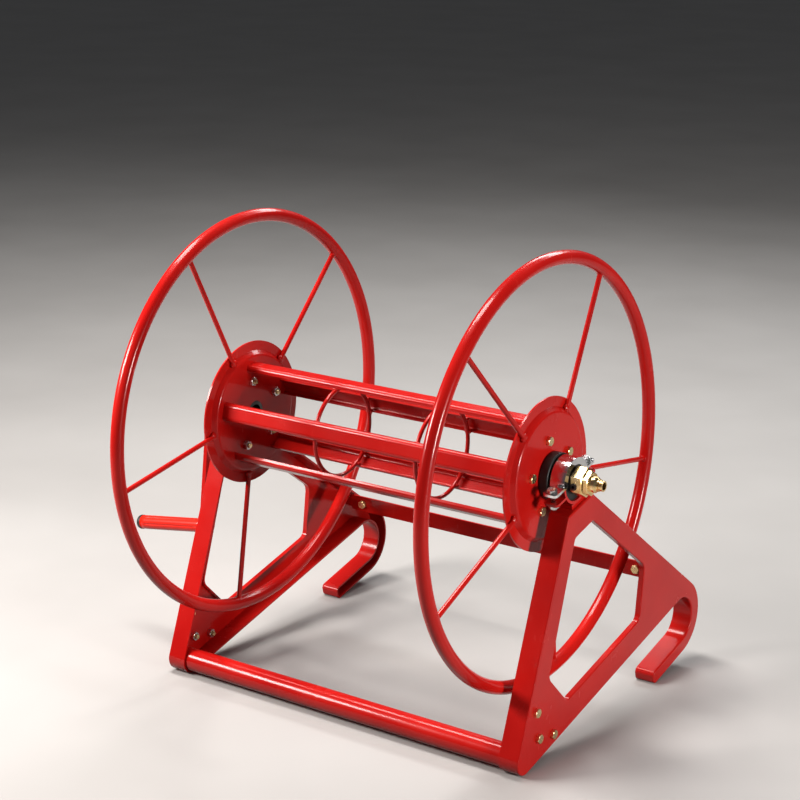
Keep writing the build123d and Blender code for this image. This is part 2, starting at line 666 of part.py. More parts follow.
def grip_end_cap():
    """Black plug in the end of the grip."""
    seat = Pos(0, 0, GRIP_GAP + GRIP_LEN - CAP_LEN)
    cap = seat * Cylinder(GRIP_R + 0.3, CAP_LEN, align=STANDING)
    cap = fillet(cap.edges().group_by(Axis.Z)[-1], CAP_ROUND)
    return AT_PIN * (cap + seat * Cylinder(PLUG_R, PLUG_LEN, align=HUNG))


# ---------------------------------------------------------------- the reel
def make_parts():
    """Every piece of the reel by name, drawn about the axle."""
    parts = {}
    parts["right_side_frame"], parts["left_side_frame"] = both_sides(side_frame())
    parts["front_tube"] = front_tube()
    parts["right_tube_plate"], parts["left_tube_plate"] = both_sides(tube_plate())
    parts["foot_bolts"], parts["foot_nuts"] = foot_fasteners()
    parts["rear_strap"] = rear_strap()
    parts["strap_tabs"] = group(both_sides(strap_tab()))
    parts["strap_bolts"], parts["strap_nuts"] = strap_fasteners()
    parts["right_bearing_saddle"], parts["left_bearing_saddle"] = both_sides(bearing_saddle())
    parts["right_bearing_clamp"], parts["left_bearing_clamp"] = both_sides(bearing_clamp())
    parts["right_bearing_bush"], parts["left_bearing_bush"] = both_sides(bearing_bush())
    parts["clamp_bolts"], parts["clamp_nuts"] = clamp_fasteners()
    parts["right_disc"] = disc(RIGHT_DISC_X)
    parts["left_disc"] = disc(LEFT_DISC_X)
    parts["right_rim"] = rim(RIM_X)
    parts["left_rim"] = rim(-RIM_X)
    parts["right_spokes"] = spokes(RIGHT_DISC_X, RIM_X, RIGHT_SPOKE_DEG)
    parts["left_spokes"] = spokes(LEFT_DISC_X, -RIM_X, LEFT_SPOKE_DEG)
    for number, bar in enumerate(each_arm(slat(), SLAT_DEG), start=1):
        parts[f"slat_{number}"] = bar
    parts["right_wire_ring"] = wire_ring(RING_X)
    parts["left_wire_ring"] = wire_ring(-RING_X)
    parts["hub_bolts"], parts["hub_nuts"] = hub_fasteners()
    parts["left_axle"] = left_axle()
    parts["right_spindle"] = right_spindle()
    parts["swivel_body"] = swivel_body()
    parts["swivel_screw"] = swivel_screw()
    parts["swivel_clip"] = swivel_clip()
    parts["inlet_tail"] = inlet_tail()
    parts["inlet_seal"] = inlet_seal()
    parts["inlet_nut"] = inlet_nut()
    parts["outlet_elbow"] = outlet_elbow()
    parts["outlet_tail"] = outlet_tail()
    parts["crank_arm"] = crank_arm()
    parts["crank_washer"] = crank_washer()
    parts["crank_nut"] = crank_nut()
    parts["grip_pin"] = grip_pin()
    parts["grip_sleeve"] = grip_sleeve()
    parts["grip_end_cap"] = grip_end_cap()
    return parts


def to_floor(parts):
    """The move from the axle's middle to the origin on the floor under the reel."""
    left = parts["grip_end_cap"].bounding_box().min.X
    rear = parts["right_side_frame"].bounding_box().max.Y
    return (round(-(left + TAIL_END) / 2, 2), round((WHEEL_R - rear) / 2, 2), AXLE_HEIGHT)


os.makedirs("parts", exist_ok=True)
PARTS = make_parts()
MOVE = to_floor(PARTS)
print("axle middle at", MOVE, "frame lean", round(degrees(LEAN), 3))
for name, shape in PARTS.items():
    export_step(Pos(*MOVE) * shape, f"parts/{name}.step")
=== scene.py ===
# %% [markdown]
# # A hand-cranked hose reel
# This lesson dresses a finished CAD model of a hose reel: two pressed side frames, a drum with two
# wheels, a crank and a brass water inlet. The frame is loaded first and stays where it is. Every new
# piece is made in metres at its real place, so nothing has to be fitted afterwards.

# %% Load the frame
import json
import math
import bmesh
import bpy
from mathutils import Matrix, Vector


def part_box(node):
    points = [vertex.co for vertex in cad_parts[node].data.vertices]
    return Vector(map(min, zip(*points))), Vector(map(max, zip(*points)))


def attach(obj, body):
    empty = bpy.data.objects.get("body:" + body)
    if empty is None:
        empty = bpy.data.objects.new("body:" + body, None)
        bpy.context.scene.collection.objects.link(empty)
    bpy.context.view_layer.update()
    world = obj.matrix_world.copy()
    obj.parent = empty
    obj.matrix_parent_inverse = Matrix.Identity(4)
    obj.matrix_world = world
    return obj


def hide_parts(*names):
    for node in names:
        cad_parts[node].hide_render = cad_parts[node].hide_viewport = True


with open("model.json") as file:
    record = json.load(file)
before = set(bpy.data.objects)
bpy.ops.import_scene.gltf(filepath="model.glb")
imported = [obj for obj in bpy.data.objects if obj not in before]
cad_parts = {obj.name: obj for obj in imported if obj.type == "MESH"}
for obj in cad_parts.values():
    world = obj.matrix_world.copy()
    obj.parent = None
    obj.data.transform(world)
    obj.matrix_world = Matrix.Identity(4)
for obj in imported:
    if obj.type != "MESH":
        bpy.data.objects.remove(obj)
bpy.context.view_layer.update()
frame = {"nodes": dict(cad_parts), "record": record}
nodes = frame["nodes"]

# %% [markdown]
# The drum turns about one line, the axle. Its middle is found from the boxes of the two hoops, and all
# round pieces are placed from it. The side frames lean back a little when the reel stands on its feet
# and hooks, and the clamps on them lean with them.

# %% Find the axle
left_hoop_low, left_hoop_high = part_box("left_rim")
right_hoop_low, right_hoop_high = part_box("right_rim")
left_hoop_x = (left_hoop_low.x + left_hoop_high.x) / 2
right_hoop_x = (right_hoop_low.x + right_hoop_high.x) / 2
axle = Vector(((left_hoop_x + right_hoop_x) / 2, (right_hoop_low.y + right_hoop_high.y) / 2,
               (right_hoop_low.z + right_hoop_high.z) / 2))
frame_lean = math.radians(14.33)
up_the_frame = Vector((0, -math.sin(frame_lean), math.cos(frame_lean)))
print("axle middle", [round(v, 4) for v in axle])

# %% [markdown]
# ## Finishes
# A finish on a real thing is never one flat colour. Each material below starts from the same few steps:
# a slow noise that shifts the colour, a second noise that shifts the gloss, and a fine bump. They read
# Object coordinates, which are metres here, so a scale of 500 means a pattern about two millimetres
# wide.

# %% A helper that starts a finish
def new_finish(name):
    finish = bpy.data.materials.new(name)
    finish.use_nodes = True
    tree = finish.node_tree
    shader = tree.nodes["Principled BSDF"]
    place = tree.nodes.new("ShaderNodeTexCoord").outputs["Object"]
    return finish, tree, shader, place


def noise(tree, place, scale, detail=3.0, stretch=None):
    if stretch:
        mapping = tree.nodes.new("ShaderNodeMapping")
        mapping.inputs["Scale"].default_value = stretch
        tree.links.new(place, mapping.inputs["Vector"])
        place = mapping.outputs["Vector"]
    texture = tree.nodes.new("ShaderNodeTexNoise")
    texture.inputs["Scale"].default_value = scale
    texture.inputs["Detail"].default_value = detail
    tree.links.new(place, texture.inputs["Vector"])
    return texture.outputs["Fac"]


def ramp(tree, value, stops):
    node = tree.nodes.new("ShaderNodeValToRGB")
    elements = node.color_ramp.elements
    while len(elements) < len(stops):
        elements.new(0.5)
    for element, (position, colour) in zip(elements, stops):
        element.position = position
        element.color = (*colour, 1) if len(colour) == 3 else colour
    tree.links.new(value, node.inputs["Fac"])
    return node.outputs["Color"]


def spread(tree, value, low, high):
    # A noise seldom leaves 0.3 to 0.7, so that part of it is stretched to the range asked for.
    node = tree.nodes.new("ShaderNodeMapRange")
    node.inputs["From Min"].default_value = 0.3
    node.inputs["From Max"].default_value = 0.7
    node.inputs["To Min"].default_value = low
    node.inputs["To Max"].default_value = high
    tree.links.new(value, node.inputs["Value"])
    return node.outputs["Result"]


def bump(tree, shader, value, strength, height):
    node = tree.nodes.new("ShaderNodeBump")
    node.inputs["Strength"].default_value = strength
    node.inputs["Distance"].default_value = height
    tree.links.new(value, node.inputs["Height"])
    tree.links.new(node.outputs["Normal"], shader.inputs["Normal"])
    return node


# %% [markdown]
# ### Red powder coat
# Powder paint is baked on, so it flows round edges and keeps a faint orange peel. It is glossy, and
# slightly deeper in colour where it lies thick. A few dull rub marks come from handling. The clear
# coat layer of the shader gives the hard white highlight over the softer red one.

# %% Red powder coat
def red_paint(name, thin, thick, gloss):
    finish, tree, shader, place = new_finish(name)
    slow = noise(tree, place, 7, 4)
    colour = ramp(tree, slow, [(0.35, thick), (0.65, thin)])
    streaks = noise(tree, place, 160, 6, (1, 1, 0.2))
    rubs = ramp(tree, streaks, [(0.62, (0, 0, 0)), (0.82, (1, 1, 1))])
    rubbed = tree.nodes.new("ShaderNodeMix")
    rubbed.data_type = "RGBA"
    tree.links.new(rubs, rubbed.inputs["Factor"])
    tree.links.new(colour, rubbed.inputs["A"])
    rubbed.inputs["B"].default_value = (thin[0] * 0.95, thin[1] + 0.004, thin[2] + 0.003, 1)
    tree.links.new(rubbed.outputs["Result"], shader.inputs["Base Color"])
    dull = tree.nodes.new("ShaderNodeMath")
    dull.operation = "MULTIPLY_ADD"
    dull.inputs[1].default_value = 0.05
    tree.links.new(rubs, dull.inputs[0])
    tree.links.new(spread(tree, noise(tree, place, 22, 3), gloss, gloss + 0.1), dull.inputs[2])
    tree.links.new(dull.outputs["Value"], shader.inputs["Roughness"])
    shader.inputs["Specular IOR Level"].default_value = 0.14
    shader.inputs["Coat Weight"].default_value = 0.22
    shader.inputs["Coat Roughness"].default_value = 0.06
    bump(tree, shader, noise(tree, place, 420, 2), 0.16, 0.0003)
    return finish


paint = red_paint("red_powder_coat", (0.54, 0.010, 0.007), (0.42, 0.005, 0.004), 0.18)
grip_paint = red_paint("red_moulded_grip", (0.72, 0.018, 0.007), (0.62, 0.011, 0.005), 0.26)
print("paints", paint.name, grip_paint.name)

# %% [markdown]
# ### Metals
# Bare and plated metals differ in colour, in gloss and in the marks of how they were made. Plating
# keeps the fine grain of the rolled steel under it, yellow zinc shifts from straw to pale green and
# pink, and turned brass carries fine rings round its axis. The rings are bands along X, because every
# turned piece here lies on the axle's line.

# %% Plated and turned metals
def metal(name, colours, gloss, grain_scale, grain, grain_stretch=None, tint_scale=60):
    finish, tree, shader, place = new_finish(name)
    tint = noise(tree, place, tint_scale, 4)
    stops = [(0.3 + 0.4 * i / (len(colours) - 1), colour) for i, colour in enumerate(colours)]
    tree.links.new(ramp(tree, tint, stops), shader.inputs["Base Color"])
    shader.inputs["Metallic"].default_value = 1
    patches = noise(tree, place, tint_scale * 3, 4)
    tree.links.new(spread(tree, patches, gloss, gloss + 0.14), shader.inputs["Roughness"])
    bump(tree, shader, noise(tree, place, grain_scale, 2, grain_stretch), grain, 0.0001)
    return finish


yellow_zinc = metal("yellow_zinc", [(0.60, 0.56, 0.30), (0.82, 0.66, 0.32), (0.80, 0.60, 0.44)], 0.22,
                    1500, 0.25, tint_scale=140)
bright_zinc = metal("bright_zinc", [(0.55, 0.56, 0.57), (0.74, 0.74, 0.73)], 0.20, 1400, 0.22)
chrome = metal("chrome_strap", [(0.66, 0.67, 0.70), (0.86, 0.86, 0.86)], 0.07, 900, 0.10, (0.1, 1, 1))
brass = metal("turned_brass", [(0.60, 0.36, 0.12), (0.86, 0.60, 0.26), (0.93, 0.74, 0.45)], 0.17,
              2600, 0.10, (1, 0.02, 0.02))
turned_steel = metal("turned_steel", [(0.05, 0.05, 0.05), (0.13, 0.125, 0.12)], 0.28, 2600, 0.3,
                     (1, 0.02, 0.02))
dark_steel = metal("blackened_steel", [(0.05, 0.045, 0.04), (0.11, 0.10, 0.09)], 0.32, 1200, 0.3)
print("metals", [m.name for m in (yellow_zinc, bright_zinc, chrome, brass, turned_steel, dark_steel)])

# %% [markdown]
# ### Black plastic and rubber
# The bearing bushes and the grip's cap are moulded black plastic with a fine satin texture, and the
# seal is rubber. Black pieces are never quite black: a little grey lets their edges show.

# %% Black plastic and rubber
def black_moulding(name, grey, gloss, texture):
    finish, tree, shader, place = new_finish(name)
    dark, light = (grey, grey, grey), (grey * 1.8, grey * 1.8, grey * 1.8)
    shade = ramp(tree, noise(tree, place, 90, 3), [(0.3, dark), (0.7, light)])
    tree.links.new(shade, shader.inputs["Base Color"])
    satin = spread(tree, noise(tree, place, 200, 3), gloss, gloss + 0.15)
    tree.links.new(satin, shader.inputs["Roughness"])
    bump(tree, shader, noise(tree, place, texture, 2), 0.3, 0.0001)
    return finish


black_plastic = black_moulding("black_plastic", 0.006, 0.42, 1600)
rubber = black_moulding("black_rubber", 0.014, 0.55, 900)
print("mouldings", black_plastic.name, rubber.name)

# %% [markdown]
# ## Dressing the CAD pieces
# Most CAD pieces already have their final shape, so they only take a finish. The record says which
# material slot each one belongs to, and a small table turns a slot into a finish.

# %% Give each CAD node its finish
finish_of_slot = {"red_paint": paint, "grip_red": grip_paint, "yellow_zinc": yellow_zinc,
                  "bright_zinc": bright_zinc, "chrome_clamp": chrome, "black_bush": black_plastic,
                  "brass": brass, "machined_steel": turned_steel, "dark_steel": dark_steel,
                  "seal_rubber": rubber, "black_cap": black_plastic}
for part in frame["record"]["subparts"]:
    node = nodes[part["node"]]
    node.data.materials.clear()
    node.data.materials.append(finish_of_slot[part["material_slot"]])

# %% [markdown]
# ## Geometry Nodes from a script
# Geometry Nodes make the wheels and the weld beads, which follow a rule, and place the fixings and
# tacks, which repeat. The small class below builds a tree a node at a time. Each tree has named
# inputs for its sizes, and ends by making its instances real and setting the finish. The result is
# copied to a plain mesh, so the finished piece has no modifier left.

# %% A builder for node trees
class Tree:
    def __init__(self, name, **inputs):
        self.group = bpy.data.node_groups.new(name, "GeometryNodeTree")
        # The geometry comes first, because a modifier feeds its mesh to the first socket.
        self.new_socket("Geometry", "INPUT", "Geometry")
        self.sockets = {}
        for label, (kind, value) in {**inputs, "finish": ("Material", None)}.items():
            socket = self.new_socket(label, "INPUT", kind)
            if value is not None:
                socket.default_value = value
            self.sockets[label] = socket.identifier
        self.new_socket("Geometry", "OUTPUT", "Geometry")
        self.given = self.group.nodes.new("NodeGroupInput").outputs

    def new_socket(self, label, way, kind):
        return self.group.interface.new_socket(label, in_out=way, socket_type="NodeSocket" + kind)

    def node(self, kind, settings=None, **values):
        made = self.group.nodes.new(kind)
        for key, value in (settings or {}).items():
            setattr(made, key, value)
        for key, value in values.items():
            # _0 and _1 are sockets by number; the others go by name, with a space for each underscore.
            name = int(key[1:]) if key[0] == "_" else key.replace("_", " ")
            socket = made.inputs[name]
            if isinstance(value, bpy.types.NodeSocket):
                self.group.links.new(value, socket)
            else:
                socket.default_value = value
        return made.outputs[0]

    def math(self, operation, a, b):
        return self.node("ShaderNodeMath", {"operation": operation}, _0=a, _1=b)

    def vector(self, x=0.0, y=0.0, z=0.0):
        return self.node("ShaderNodeCombineXYZ", X=x, Y=y, Z=z)

    def join(self, *shapes):
        joined = self.group.nodes.new("GeometryNodeJoinGeometry")
        for shape in shapes:
            self.group.links.new(shape, joined.inputs[0])
        return joined.outputs[0]

    def tube(self, path, radius, sides, caps=False):
        profile = self.node("GeometryNodeCurvePrimitiveCircle", Resolution=sides, Radius=radius)
        return self.node("GeometryNodeCurveToMesh", Curve=path, Profile_Curve=profile,
                         Fill_Caps=caps)

    def finished(self, shape):
        real = self.node("GeometryNodeRealizeInstances", Geometry=shape)
        dressed = self.node("GeometryNodeSetMaterial", Geometry=real, Material=self.given["finish"])
        self.group.links.new(dressed, self.group.nodes.new("NodeGroupOutput").inputs[0])


def grow(name, tree, body, slot, start=None, stands_for=(), **values):
    host = bpy.data.objects.new(name + "_host", start or bpy.data.meshes.new(name + "_start"))
    bpy.context.scene.collection.objects.link(host)
    modifier = host.modifiers.new("Nodes", "NODES")
    modifier.node_group = tree.group
    for label, value in {**values, "finish": finish_of_slot[slot]}.items():
        modifier[tree.sockets[label]] = value
    evaluated = host.evaluated_get(bpy.context.evaluated_depsgraph_get())
    mesh = bpy.data.meshes.new_from_object(evaluated)
    host.modifiers.clear()
    bpy.data.objects.remove(host)
    piece = bpy.data.objects.new(name, mesh)
    bpy.context.scene.collection.objects.link(piece)
    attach(piece, body)
    if stands_for:
        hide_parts(*stands_for)
    print(name, len(mesh.polygons), "faces")
    return piece


# %% [markdown]
# ## The two wheels
# A wheel is a hoop of bent tube with five wire spokes welded to a pressed disc. It follows a simple
# rule, so one tree makes both: sweep a circle round a circle for the hoop, sweep one spoke, and turn
# copies of it round the axle. Each spoke ends in a small lump of weld under the paint, a sphere
# squashed and roughened with a fixed noise.

# %% The wheel tree
SPOKES = 5
SPOKE_RADIUS = 0.003
TUBE_RADIUS = 0.008
wheel = Tree("hoop_and_spokes", middle=("Vector", axle), hoop_x=("Float", 0.2),
             hoop_radius=("Float", 0.242), tube_radius=("Float", TUBE_RADIUS),
             spokes=("Int", SPOKES), spoke_radius=("Float", SPOKE_RADIUS),
             first_angle=("Float", 0.0), spoke_start_x=("Float", 0.2),
             spoke_start_radius=("Float", 0.0775), spoke_end_radius=("Float", 0.236),
             weld_size=("Float", 0.0052))
g = wheel.given
ring = wheel.node("GeometryNodeCurvePrimitiveCircle", Resolution=160, Radius=g["hoop_radius"])
hoop = wheel.tube(ring, g["tube_radius"], 28)
hoop = wheel.node("GeometryNodeTransform", Geometry=hoop, Translation=wheel.vector(g["hoop_x"]),
                  Rotation=(0, math.pi / 2, 0))
root = wheel.vector(g["spoke_start_x"], g["spoke_start_radius"])
tip = wheel.vector(g["hoop_x"], g["spoke_end_radius"])
spoke_line = wheel.node("GeometryNodeCurvePrimitiveLine", Start=root, End=tip)
spoke = wheel.tube(spoke_line, g["spoke_radius"], 20, True)
LUMP_HEIGHT = 0.0026


def weld_lump(tree, at, size, squash):
    ball = tree.node("GeometryNodeMeshIcoSphere", Radius=size, Subdivisions=4)
    rough = tree.node("ShaderNodeTexNoise", {"noise_dimensions": "4D"}, W=3.0, Scale=420.0, Detail=2.0)
    push = tree.math("MULTIPLY", tree.math("SUBTRACT", rough, 0.5), LUMP_HEIGHT)
    away = tree.node("ShaderNodeVectorMath", {"operation": "SCALE"},
                     Vector=tree.node("GeometryNodeInputNormal"), Scale=push)
    lump = tree.node("GeometryNodeSetPosition", Geometry=ball, Offset=away)
    return tree.node("GeometryNodeTransform", Geometry=lump, Translation=at, Scale=squash)


arm = wheel.join(spoke, weld_lump(wheel, root, g["weld_size"], (0.62, 0.85, 1.0)),
                 weld_lump(wheel, tip, g["weld_size"], (0.9, 0.55, 0.95)))
arm = wheel.node("GeometryNodeSetShadeSmooth", Geometry=arm)
index = wheel.node("GeometryNodeInputIndex")
turn = wheel.math("ADD", g["first_angle"], wheel.math("MULTIPLY", index, math.tau / SPOKES))
points = wheel.node("GeometryNodePoints", Count=g["spokes"])
arms = wheel.node("GeometryNodeInstanceOnPoints", Points=points, Instance=arm,
                  Rotation=wheel.vector(turn))
whole = wheel.node("GeometryNodeTransform", Geometry=wheel.join(hoop, arms),
                   Translation=g["middle"])
whole = wheel.node("GeometryNodeRealizeInstances", Geometry=whole)
wheel.finished(wheel.node("GeometryNodeSetShadeSmooth", Geometry=whole))
print("wheel tree", len(wheel.group.nodes), "nodes")

# %% Grow the wheels
DISC_SHEET = 0.002
SPOKE_SINK = 0.0005
hoop_radius = (right_hoop_high.z - right_hoop_low.z) / 2 - TUBE_RADIUS
for side, hoop_x, angle in (("right", right_hoop_x, 61.7), ("left", left_hoop_x, 45.9)):
    disc_low, disc_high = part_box(side + "_disc")
    spoke_x = disc_low.x + DISC_SHEET + SPOKE_RADIUS - SPOKE_SINK
    grow(side + "_wheel", wheel, "drum", "red_paint",
         stands_for=[side + "_rim", side + "_spokes"], middle=axle, hoop_x=hoop_x - axle.x,
         hoop_radius=hoop_radius, first_angle=math.radians(angle), spoke_start_x=spoke_x - axle.x)

# %% [markdown]
# ## Bolts and nuts
# The bolts and nuts that hold the feet, hubs, strap and clamps repeat, so one good bolt and one good
# nut are modelled ring by ring and then placed on points. A real head has a flat washer face below,
# six sides, and a cone that cuts its corners on top. The thread shows where it comes out of the nut.
# Where each one goes is measured on the CAD mesh: every separate solid in a node is one bolt, and its
# end face gives its line.

# %% A hexagon, a bolt and a nut
def rings_to_mesh(name, rings, smooth, closed=False):
    shape = bmesh.new()
    loops = [[shape.verts.new(point) for point in ring] for ring in rings]
    following = loops[1:] + loops[:1] if closed else loops[1:]
    for number, (low, high) in enumerate(zip(loops, following)):
        for i in range(len(low)):
            face = shape.faces.new((low[i], low[i - 1], high[i - 1], high[i]))
            face.smooth = smooth[number]
    if not closed:
        shape.faces.new(loops[0])
        shape.faces.new(list(reversed(loops[-1])))
    bmesh.ops.recalc_face_normals(shape, faces=shape.faces)
    mesh = bpy.data.meshes.new(name)
    shape.to_mesh(mesh)
    shape.free()
    return mesh


def circle(radius, height, count=48):
    angles = [math.tau * i / count for i in range(count)]
    return [(radius * math.cos(angle), radius * math.sin(angle), height) for angle in angles]


def hexagon(flats, height, keep=1.0, count=48):
    points = []
    for i in range(count):
        angle = math.tau * i / count
        reach = flats / 2 / math.cos((angle + math.pi / 6) % (math.pi / 3) - math.pi / 6)
        reach = min(reach, flats / 2 * keep)
        points.append((reach * math.cos(angle), reach * math.sin(angle), height))
    return points


def thread(radius, start, end, pitch=0.0008):
    turns = []
    height = start
    while height - pitch > end:
        turns += [circle(radius, height), circle(radius - 0.0004, height - pitch / 2)]
        height -= pitch
    return turns + [circle(radius - 0.0003, end)]


FLATS = 0.010
HEAD_HEIGHT = 0.0040
NUT_HEIGHT = 0.0050
SHANK_RADIUS = 0.0030
NUT_BORE = 0.0031
CORNERS = 2 / math.sqrt(3)      # full width over corners, as a share of the width over flats
CHAMFER_END = 0.96              # where the cone on a hexagon meets its end face
CHAMFER_SIDE = 1.08             # halfway down the cone
head_rings = [circle(0.0044, HEAD_HEIGHT), hexagon(FLATS, HEAD_HEIGHT, CHAMFER_END),
              hexagon(FLATS, 0.0036, CHAMFER_SIDE), hexagon(FLATS, 0.0032, CORNERS),
              hexagon(FLATS, 0.0004, CORNERS), circle(0.0048, 0.0003), circle(0.0048, 0.0),
              circle(SHANK_RADIUS, 0.0)]
nut_rings = [circle(NUT_BORE, 0.0046), circle(0.0036, NUT_HEIGHT),
             hexagon(FLATS, NUT_HEIGHT, CHAMFER_END), hexagon(FLATS, 0.0046, CHAMFER_SIDE),
             hexagon(FLATS, 0.0041, CORNERS), hexagon(FLATS, 0.0009, CORNERS),
             hexagon(FLATS, 0.0004, CHAMFER_SIDE), hexagon(FLATS, 0.0, CHAMFER_END),
             circle(NUT_BORE, 0.0)]
THREAD_START = 0.001            # the thread starts this far inside what the bolt clamps
THREAD_END = 0.0075             # and ends this far beyond it, past the nut


def bolt_mesh(grip):
    rings = head_rings + thread(SHANK_RADIUS, -grip + THREAD_START, -(grip + THREAD_END))
    return rings_to_mesh("bolt", rings, [False] * (len(head_rings) - 2) + [True] * len(rings))


print("bolt head", head_rings[3][0], "nut rings", len(nut_rings))

# %% [markdown]
# A CAD mesh comes as loose triangles. A merged copy of it falls apart into its separate solids, and
# each solid's end face, furthest along the bolt's direction, has its middle on the bolt's line.

# %% Find where the fixings sit
SAME_POINT = 0.000002
SAME_FACE = 0.00002


def solids_of(node):
    shape = bmesh.new()
    shape.from_mesh(nodes[node].data)
    bmesh.ops.remove_doubles(shape, verts=shape.verts, dist=SAME_POINT)
    waiting = set(shape.verts)
    found = []
    while waiting:
        edge = [waiting.pop()]
        solid = []
        while edge:
            vert = edge.pop()
            solid.append(vert.co.copy())
            for link in vert.link_edges:
                other = link.other_vert(vert)
                if other in waiting:
                    waiting.remove(other)
                    edge.append(other)
        found.append(solid)
    shape.free()
    return found


def seats(node, direction_of, lift):
    points = []
    for solid in solids_of(node):
        low = Vector([min(v[i] for v in solid) for i in range(3)])
        high = Vector([max(v[i] for v in solid) for i in range(3)])
        direction = direction_of((low + high) / 2)
        along = [v.dot(direction) for v in solid]
        limit = max(along) if lift else min(along)
        face = [v for v, a in zip(solid, along) if abs(a - limit) < SAME_FACE]
        middle = sum(face, Vector()) / len(face)
        points.append((middle - direction * lift, direction))
    return points


def outward(at):
    return Vector((math.copysign(1, at.x - axle.x), 0, 0))


def points_mesh(points):
    mesh = bpy.data.meshes.new("seats")
    mesh.from_pydata([at for at, direction in points], [], [])
    heading = mesh.attributes.new("heading", "FLOAT_VECTOR", "POINT")
    for i, (at, direction) in enumerate(points):
        heading.data[i].vector = direction
    return mesh


print("foot bolts", len(seats("foot_bolts", outward, HEAD_HEIGHT)), "hub bolts",
      len(seats("hub_bolts", outward, HEAD_HEIGHT)))

# %% [markdown]
# The tree takes the points as its starting mesh, stands one fixing on each along its own heading, and
# turns each a little differently, as a spanner leaves them.

# %% The fixings tree
fixings = Tree("fixings", piece=("Object", None), spin=("Float", 1.0), seed=("Int", 4))
g = fixings.given
heading = fixings.node("GeometryNodeInputNamedAttribute", {"data_type": "FLOAT_VECTOR"}, Name="heading")
facing = fixings.node("FunctionNodeAlignRotationToVector", {"axis": "Z"}, Vector=heading)
chance = fixings.group.nodes.new("FunctionNodeRandomValue")
chance.data_type = "FLOAT"
fixings.group.links.new(g["seed"], chance.inputs["Seed"])
spin = fixings.math("MULTIPLY", chance.outputs[1], g["spin"])
own_turn = fixings.node("FunctionNodeRotateRotation", {"rotation_space": "LOCAL"}, Rotation=facing,
                        Rotate_By=fixings.vector(0.0, 0.0, spin))
pieces = fixings.group.nodes.new("GeometryNodeObjectInfo")
fixings.group.links.new(g["piece"], pieces.inputs["Object"])
placed = fixings.node("GeometryNodeInstanceOnPoints", Points=g["Geometry"],
                      Instance=pieces.outputs["Geometry"], Rotation=own_turn)
fixings.finished(placed)
print("fixings tree", len(fixings.group.nodes), "nodes")

# %% Place the fixings
def set_of_fixings(name, mesh, body, slot, points, node):
    model = bpy.data.objects.new(name + "_model", mesh)
    bpy.context.scene.collection.objects.link(model)
    grow(name, fixings, body, slot, start=points_mesh(points), stands_for=[node], piece=model)
    bpy.data.objects.remove(model)


def nut_mesh():
    return rings_to_mesh("nut", nut_rings, [False] * len(nut_rings))


def forward(at):
    return Vector((0, -1, 0))


def inward(at):
    return -outward(at)


# The last number of each row is the thickness that the bolt clamps, in metres.
for name, body, slot, direction, grip in (
        ("foot_bolts", "stand", "yellow_zinc", outward, 0.0054),
        ("hub_bolts", "drum", "yellow_zinc", outward, 0.007),
        ("strap_bolts", "stand", "yellow_zinc", forward, 0.006),
        ("clamp_bolts", "stand", "bright_zinc", lambda at: up_the_frame, 0.015)):
    set_of_fixings(name + "_set", bolt_mesh(grip), body, slot, seats(name, direction, HEAD_HEIGHT),
                    name)
for name, body, direction in (
        ("foot_nuts", "stand", inward), ("hub_nuts", "drum", inward),
        ("strap_nuts", "stand", lambda at: Vector((0, 1, 0))),
        ("clamp_nuts", "stand", lambda at: -up_the_frame)):
    set_of_fixings(name + "_set", nut_mesh(), body, "bright_zinc", seats(name, direction, 0), name)

# %% [markdown]
# ## The fluted grip
# The grip is a moulded sleeve that spins on its pin. Shallow flutes run along it, so that a wet hand
# holds it, and they fade out before both ends. The sleeve is built from rings along the pin, whose line
# comes from the grip's joint. The rings run over the outside, into the pocket that hides the pin's
# head, and back through the bore.

# %% Grow the grip
joint = [j for j in frame["record"]["behaviour"]["joints"] if j["name"] == "grip_spin"][0]
pin_start, pin_line = Vector(joint["pos_m"]), Vector(joint["axis"]).to_track_quat("Z", "Y")
FLUTES = 6


def fluted(radius, height, depth, count=120):
    points = []
    for i in range(count):
        angle = math.tau * i / count
        reach = radius - depth * max(0, math.cos(FLUTES * angle)) ** 4
        points.append((reach * math.cos(angle), reach * math.sin(angle), height))
    return points


# Each row is a ring: its radius, its place along the pin and the depth of its flutes, in millimetres.
grip_profile = [(5.05, 3.0, 0), (7.3, 3.0, 0), (8.05, 3.2, 0), (8.6, 3.75, 0), (8.8, 4.5, 0),
                (8.8, 9.0, 0), (8.8, 10.5, 0.5), (8.8, 12.5, 1.0), (8.8, 92.0, 1.0),
                (8.8, 94.5, 0.5), (8.8, 96.0, 0), (8.8, 103.0, 0), (7.0, 103.0, 0),
                (7.0, 96.45, 0), (5.05, 96.45, 0)]
grip_rings = [fluted(r / 1000, h / 1000, d / 1000) for r, h, d in grip_profile]
grip_smooth = [False] + [True] * 10 + [False] * 4
grip_mesh = rings_to_mesh("fluted_grip", grip_rings, grip_smooth, closed=True)
grip_mesh.transform(Matrix.Translation(pin_start) @ pin_line.to_matrix().to_4x4())
grip_mesh.materials.append(grip_paint)
grip = bpy.data.objects.new("fluted_grip", grip_mesh)
bpy.context.scene.collection.objects.link(grip)
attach(grip, "grip")
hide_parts("grip_sleeve")
print("grip", len(grip_mesh.polygons), "faces,", FLUTES, "flutes")

# %% [markdown]
# ## Welds
# The tube is welded to its two end plates, and the wire rings to the slats. A hand-laid bead is a row
# of small overlapping scales. The tree sweeps a circle along a ring and lets its thickness swell and
# shrink with the distance along it. It makes the beads of the tube; the rings get short tacks.

